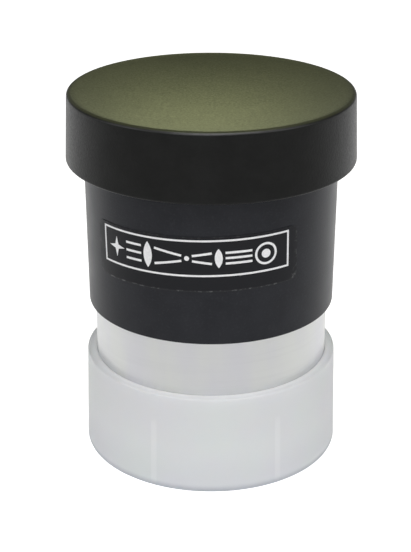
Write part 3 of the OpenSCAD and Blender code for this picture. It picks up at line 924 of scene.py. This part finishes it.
def lens(name, edge_r, upper, lower, finish, slot, node):
    """A lens with a ground edge between two faces, each given as (sphere radius, pole height)."""
    top_face = cap_of(upper[0], edge_r, upper[1])
    low_face = cap_of(lower[0], edge_r, lower[1])
    outline = top_face + low_face[::-1]
    piece = lathe(name, outline, segments=128)
    return fit(piece, finish, slot, "eyepiece", node)


def optics():
    gap = 0.01 * MM
    eye_r = radius("eye_lens_crown") - gap
    flint_top = 80 * MM
    cement = 12 * MM
    crown_low = -17 * MM
    top_z = high("eye_lens_flint") - gap
    cement_z = high("eye_lens_crown")
    low_z = low("eye_lens_crown") + gap
    clear = rgb(0.96, 0.98, 0.97)
    violet = rgb(0.55, 0.45, 1.0)
    flint = glass_finish("flint_glass", 1.62, clear, violet)
    crown = glass_finish("crown_glass", 1.52, rgb(0.97, 0.98, 0.98), violet)
    faces = (flint_top, top_z), (cement, cement_z + gap)
    lens("eye_flint", eye_r, *faces, flint, "flint_glass", "eye_lens_flint")
    faces = (cement, cement_z - gap), (crown_low, low_z)
    lens("eye_crown", eye_r, *faces, crown, "crown_glass", "eye_lens_crown")
    field_r = radius("field_lens") - gap
    field_sphere = 18.1 * MM
    flat = -1e3 * MM
    faces = (field_sphere, high("field_lens") - gap), (flat, low("field_lens") + gap)
    lens("field_glass", field_r, *faces, crown, "crown_glass", "field_lens")


def inner_metal():
    """The CAD's own cell, spacer and rings, in matte black."""
    finish = black_metal_finish()
    for node in ("lens_cell", "lens_spacer", "field_lens_ring", "field_stop"):
        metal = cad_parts[node]
        metal.data.materials.clear()
        metal.data.materials.append(finish)


# ---- studio ----

CAMERA_LENS = 94.9
CAMERA_DISTANCE = 200 * MM
CAMERA_PITCH = math.radians(23.28)
CAMERA_SHIFT_X = -0.76 * MM
CAMERA_DROP_Z = -1.42 * MM


def camera():
    middle = (cad_box[0] + cad_box[1]) / 2
    target = Vector((CAMERA_SHIFT_X, 0, middle.z + CAMERA_DROP_Z))
    back = Vector((0, -math.cos(CAMERA_PITCH), math.sin(CAMERA_PITCH)))
    data = bpy.data.cameras.new("camera")
    data.lens = CAMERA_LENS
    data.sensor_width = 36
    data.clip_start = 10 * MM
    data.clip_end = 10
    view = bpy.data.objects.new("camera", data)
    view.location = target + back * CAMERA_DISTANCE
    view.rotation_euler = (-back).to_track_quat("-Z", "Y").to_euler()
    bpy.context.scene.collection.objects.link(view)
    bpy.context.scene.camera = view


def softbox(name, azimuth, elevation, distance, size, power, tint=(1, 1, 1)):
    """A square area light aimed at the eyepiece. Azimuth 0 is at the camera's side."""
    a, e = math.radians(azimuth), math.radians(elevation)
    way = Vector((math.sin(a) * math.cos(e), -math.cos(a) * math.cos(e), math.sin(e)))
    data = bpy.data.lights.new(name, "AREA")
    data.shape = "RECTANGLE"
    data.size, data.size_y = size
    data.energy = power
    data.color = tint
    light = bpy.data.objects.new(name, data)
    light.visible_camera = False
    light.location = way * distance
    light.rotation_euler = way.to_track_quat("Z", "Y").to_euler()
    bpy.context.scene.collection.objects.link(light)


def floor():
    """A pale floor that stays under the barrel cap: white to the camera, dimmer to the object."""
    half = 3
    z = cad_box[0].z
    mesh = bpy.data.meshes.new("floor")
    corners = [(-half, -half, z), (half, -half, z), (half, half, z), (-half, half, z)]
    mesh.from_pydata(corners, [], [(0, 1, 2, 3)])
    piece = bpy.data.objects.new("floor", mesh)
    bpy.context.scene.collection.objects.link(piece)
    f = Finish("floor_paper", Roughness=0.9)
    f.put("Base Color", rgb(0.86, 0.86, 0.86))
    f.put("Specular IOR Level", 0.1)
    f.put("Emission Color", rgb(1, 1, 1))
    behind = f.ramp(f.node("SeparateXYZ", {0: f.place}, output=1), -0.05, 0.08, 0.25, 0.85)
    seen = f.node("LightPath", output="Is Camera Ray")
    f.put("Emission Strength", f.math("MAXIMUM", behind, seen))
    mesh.materials.append(f.material)
    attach(piece, "barrel_cap")


def surroundings():
    """White to the camera; to reflections, a bright paper sweep behind and a dim room in front."""
    world = bpy.data.worlds.new("studio")
    world.use_nodes = True
    bpy.context.scene.world = world
    tree = world.node_tree
    nodes, links = tree.nodes, tree.links
    ground = nodes["Background"]
    way = nodes.new("ShaderNodeTexCoord")
    split = nodes.new("ShaderNodeSeparateXYZ")
    links.new(way.outputs["Generated"], split.inputs[0])

    def ramp(value, *limits):
        """A smooth ramp through its start, end, first and last values."""
        made = nodes.new("ShaderNodeMapRange")
        made.interpolation_type = "SMOOTHSTEP"
        links.new(value, made.inputs[0])
        for index, limit in enumerate(limits, 1):
            made.inputs[index].default_value = limit
        return made.outputs[0]

    def combined(operation, a, b):
        made = nodes.new("ShaderNodeMath")
        made.operation = operation
        links.new(a, made.inputs[0])
        links.new(b, made.inputs[1])
        return made.outputs[0]

    behind = ramp(split.outputs[1], 0.1, 1.0, 0.05, 0.25)
    above = ramp(split.outputs[2], 0.1, 0.6, 1.0, 0.1)
    seen = nodes.new("ShaderNodeLightPath").outputs["Is Camera Ray"]
    strength = combined("MAXIMUM", combined("MULTIPLY", behind, above), seen)
    links.new(strength, ground.inputs["Strength"])
    ground.inputs["Color"].default_value = rgb(1, 1, 1)


def studio():
    bpy.context.scene.view_settings.view_transform = "Standard"
    surroundings()
    floor()
    camera()
    softbox("top", 8, 58, 0.42, (0.35, 0.25), 0.85)
    softbox("left", -70, 25, 0.45, (0.25, 0.3), 0.22)
    softbox("right", 62, 25, 0.45, (0.25, 0.3), 0.22)
    softbox("front", -10, 25, 0.6, (0.4, 0.3), 0.55)
    softbox("back", 180.3, 20.7, 0.158, (0.025, 0.02), 0.0085, (0.93, 1, 0.45))


eye_cap_shell()
eyecup_rubber()
housing_shell()
label_sheet()
label_ink()
barrel_tube()
barrel_cap_shell()
optics()
inner_metal()
studio()
